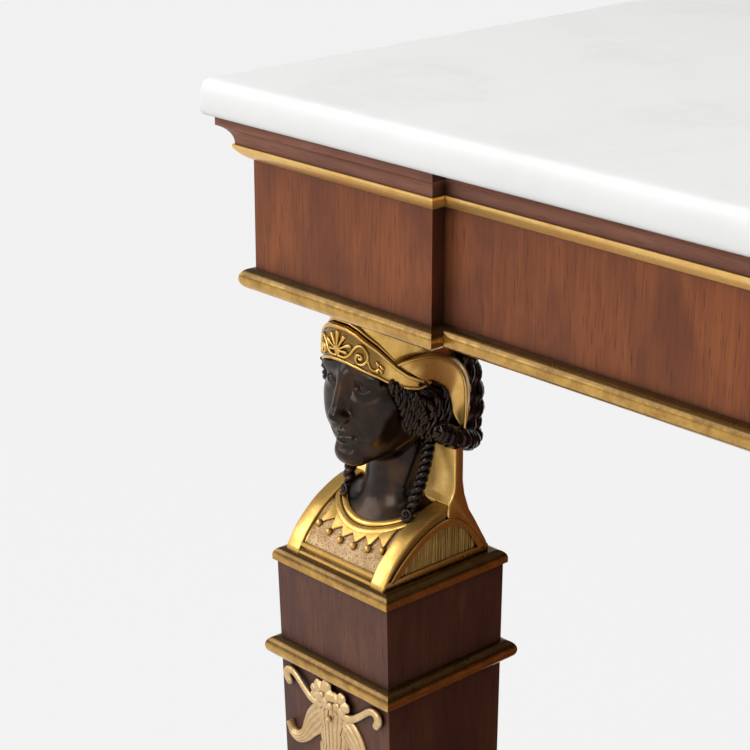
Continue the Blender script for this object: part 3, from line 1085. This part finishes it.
FROND_UPPER = ((9.0, 18.6), (17.6, 21.6), (24.2, 29.0), (27.4, 36.6), (29.6, 43.2), (33.2, 46.4), (36.6, 45.4),
               (38.6, 41.0))
FROND_LOWER = ((6.0, 30.0), (9.0, 37.0), (13.0, 41.0), (17.4, 44.6), (23.6, 50.4), (31.4, 54.4), (37.6, 52.0),
               (40.2, 42.0))
FROND_WIDTH = 10
FROND_THICK = 0.9
FROND_GROOVES = (0.2, 0.4, 0.6, 0.8)
FROND_GROOVE_DEPTH = 0.6
FROND_WAX = 0.3
FROND_CROWN = 2.4
FROND_CURL = 2.2             # its tip stands this much further off the wood
GROOVE_WIDTH = 0.42


def on_leg(across, drop, proud):
    """A point on the leg's front, in the bust's frame: across from the middle, below the band, proud of the wood."""
    face = LEG_LEAN * (LEG_TOP - MOUNT_TOP + drop) - LEG_HALF
    return np.array([across, face - proud, MOUNT_TOP - drop - APRON_FOOT])


def grooves(spans, places, half):
    """Share of a chased groove at each span of a leaf, from places between its edges and its half width."""
    return sum(np.exp(-((spans - at) * half / GROOVE_WIDTH) ** 2) for at in places)


def laid_leaf(upper, lower, proud, wax):
    """Closed leaf on the wood from two edges, the heights between them and the wax in its grooves."""
    rows = []
    for first, last, heights in zip(upper, lower, proud):
        spans = np.linspace(0, 1, len(heights))[:, None]
        flat = first + (last - first) * spans
        top = [on_leg(*at, h) for at, h in zip(flat, heights)]
        rows.append(top + [on_leg(*last, 0.0), on_leg(*first, 0.0)] + top[:1])
    wax = np.array(wax)
    return skin(np.array(rows), np.column_stack([wax, np.zeros((len(wax), 2)), wax[:, :1]]))


mount = bmesh.new()
wide = smooth_path([(r, 0, 0) for r in ARM_RADII], 70)[:, 0]
arms = bmesh.new()
for side in (1, -1):
    path = smooth_path([on_leg(side * a, d, p) for a, d, p in ARM], 70)
    bmesh.ops.create_uvsphere(arms, u_segments=20, v_segments=12, radius=ARM_RADII[-1],
                              matrix=Matrix.Translation(path[-1]))
    sweep(arms, [(path, wide)], fineness=5)
for vertex in arms.verts:
    face = on_leg(0, MOUNT_TOP - APRON_FOOT - vertex.co.z, 0)[1]
    vertex.co.y = face + (vertex.co.y - face) * ARM_FLATTENED
put_in(mount, arms)
for across, drop, proud, size in FLOWERS:
    flower = bmesh.new()
    bmesh.ops.create_uvsphere(flower, u_segments=60, v_segments=24, radius=1,
                              matrix=Matrix.Rotation(math.pi / 2, 4, "X"))
    for vertex in flower.verts:
        turn = math.atan2(vertex.co.z, vertex.co.x) * FLOWER_PETALS
        edge = math.hypot(vertex.co.x, vertex.co.z)
        gap = (0.5 - 0.5 * math.cos(turn)) ** 3
        reach = 1 - FLOWER_GAP * edge * gap
        bowl = FLOWER_DEPTH - HEART_DIP[0] * math.exp(-(edge / HEART_DIP[1]) ** 2) - GAP_DEPTH * edge * gap
        vertex.co = Vector((vertex.co.x * reach, vertex.co.y * bowl, vertex.co.z * reach)) * size
    heart = bmesh.new()
    bmesh.ops.create_uvsphere(heart, u_segments=16, v_segments=10, radius=HEART_RADIUS * size,
                              matrix=Matrix.Translation((0, -HEART_PROUD * size, 0)))
    put_in(flower, heart)
    bmesh.ops.translate(flower, verts=flower.verts, vec=on_leg(across, drop, proud))
    put_in(mount, flower)
for across, drop, proud, size in (BUD, PIN):
    knob = bmesh.new()
    bmesh.ops.create_uvsphere(knob, u_segments=16, v_segments=10, radius=size,
                              matrix=Matrix.Translation(on_leg(across, drop, proud)))
    put_in(mount, knob)
outline = smooth_path(np.column_stack([LEAF_HALVES, LEAF_DROPS, np.zeros(len(LEAF_DROPS))]), 130)
fall = np.linspace(0, 1, len(outline))
notch = 1 - LEAF_NOTCH * (fall * LEAF_NOTCHES % 1) ** 2
spans = np.linspace(-1, 1, 73)
heights, wax = [], []
for t, half in zip(fall, outline[:, 0]):
    crown = LEAF_CROWN * (math.sin(math.pi * min(1, 0.22 + 0.78 * t)) ** 0.5) * (1 - spans ** 2) ** 0.5
    groove = grooves(spans, LEAF_GROOVES, half) * (1 - spans ** 8) * min(1, half / 6)
    heights.append(LEAF_THICK + crown - LEAF_GROOVE_DEPTH * groove)
    wax.append(LEAF_WAX * groove)
edges = [np.column_stack([sign * outline[:, 0] * notch, outline[:, 1]]) for sign in (-1, 1)]
put_in(mount, laid_leaf(*edges, heights, wax))
frond_edges = [smooth_path([at + (0,) for at in edge], 60)[:, :2] for edge in (FROND_UPPER, FROND_LOWER)]
spans = np.linspace(0, 1, 33)
heights, wax = [], []
for t in np.linspace(0, 1, 60):
    crown = FROND_CROWN * np.sin(math.pi * spans) ** 0.6
    groove = grooves(spans, FROND_GROOVES, FROND_WIDTH) * (1 - t ** 3)
    heights.append(FROND_THICK + crown + FROND_CURL * t ** 3 - FROND_GROOVE_DEPTH * groove)
    wax.append(FROND_WAX * groove)
for side in (1, -1):
    put_in(mount, laid_leaf(*[edge * (side, 1) for edge in frond_edges], heights, wax))
bmesh.ops.recalc_face_normals(mount, faces=mount.faces)
# Brushed with wire and left unburnished: pale gold with a broad soft sheen, brown in the chased grooves.
satin_gilding = gilding("wire_brushed_gilt_brass", "eccb98", "d8b27e", "4d321a", 0.36, 0.5, 3.0, stipple=0.3,
                        metallic=0.75)
pair("shaft_mount", mount, [satin_gilding], "shaft_mount", sharp=60)

# Bronze feet: a pair of bare feet that the leg stands on, cast solid and patinated dark like the head. The soles are
# filed flat to rest on the plinth, and the leg's foot moulding sits on the ankles.
FOOT_OFFSET = 16.5
FOOT_FLOOR = 64.0
FOOT_TOE = -45.8
FOOT_CUT = 42.0              # the leg's foot moulding sits on it here
FOOT_MASSES = (              # middle and radii, in the foot's frame: heel to toe along -Y, sole at 0, big toe at -X
    ((0, 69, 12), (11.5, 11.5, 14)), ((0, 56, 16), (12.0, 17, 17)), ((-1, 42, 13), (12.4, 18, 15)),
    ((-2, 27, 9.5), (13.2, 15, 11)), ((4.5, 30, 6.5), (9.5, 20, 8)), ((-4.5, 20, 7.5), (9.5, 10, 8)),
    ((0, 52, 36), (12.2, 14.5, 20)), ((-10.2, 56, 27), (3.6, 5, 5)), ((10.2, 59, 25), (3.6, 5, 5)),
)
TOES = (                     # root, joint and tip, each with a radius
    (((-8.6, 16, 6.6), 5.0), ((-8.6, 10, 6.0), 5.0), ((-8.4, 5.2, 5.0), 4.8)),
    (((-1.4, 17, 6.4), 3.9), ((-1.3, 9, 6.0), 3.6), ((-1.1, 3.9, 4.2), 3.5)),
    (((4.2, 18, 5.8), 3.6), ((4.6, 11, 5.4), 3.3), ((5.0, 6.2, 3.9), 3.2)),
    (((9.0, 21, 5.2), 3.3), ((9.8, 14.6, 4.8), 3.0), ((10.3, 10.2, 3.6), 2.9)),
    (((12.6, 26, 4.6), 3.1), ((13.4, 19.6, 4.2), 2.8), ((13.8, 15.6, 3.3), 2.7)),
)
MELT_GRAIN = 0.9             # the masses are melted into one skin at this grain
SOFTENINGS = 9

masses = bmesh.new()
for middle, radii in FOOT_MASSES:
    bmesh.ops.create_icosphere(masses, subdivisions=4, radius=1,
                               matrix=Matrix.Translation(middle) @ Matrix.Diagonal(radii + (1,)))
for toe in TOES:
    path = smooth_path([place for place, _ in toe], 14)
    wide = np.interp(np.linspace(0, 2, 14), (0, 1, 2), [radius for _, radius in toe])
    sweep(masses, [(path, wide)], fineness=6)
    bmesh.ops.create_icosphere(masses, subdivisions=3, radius=toe[-1][1], matrix=Matrix.Translation(toe[-1][0]))
clay_foot = new_object("clay_foot", masses)
melt = clay_foot.modifiers.new("melt", "REMESH")
melt.mode = "VOXEL"
melt.voxel_size = MELT_GRAIN
soften = clay_foot.modifiers.new("soften", "SMOOTH")
soften.iterations = SOFTENINGS
bpy.context.view_layer.update()
melted = bpy.data.meshes.new_from_object(clay_foot.evaluated_get(bpy.context.evaluated_depsgraph_get()))
bpy.data.objects.remove(clay_foot)
feet = bmesh.new()
for side in (1, -1):
    foot = bmesh.new()
    foot.from_mesh(melted)
    for level, away in ((0.0, -1), (FOOT_CUT, 1)):
        bmesh.ops.bisect_plane(foot, geom=foot.verts[:] + foot.edges[:] + foot.faces[:], plane_co=(0, 0, level),
                               plane_no=(0, 0, away), clear_outer=True)
        bmesh.ops.holes_fill(foot, edges=[e for e in foot.edges if e.is_boundary], sides=0)
    bmesh.ops.scale(foot, verts=foot.verts, vec=(side, 1, 1))
    bmesh.ops.translate(foot, verts=foot.verts, vec=(side * FOOT_OFFSET, FOOT_TOE, FOOT_FLOOR - APRON_FOOT))
    bmesh.ops.recalc_face_normals(foot, faces=foot.faces)
    put_in(feet, foot)
bpy.data.meshes.remove(melted)
pair("bronze_feet", feet, [patinated_bronze], "bronze_feet", sharp=60)
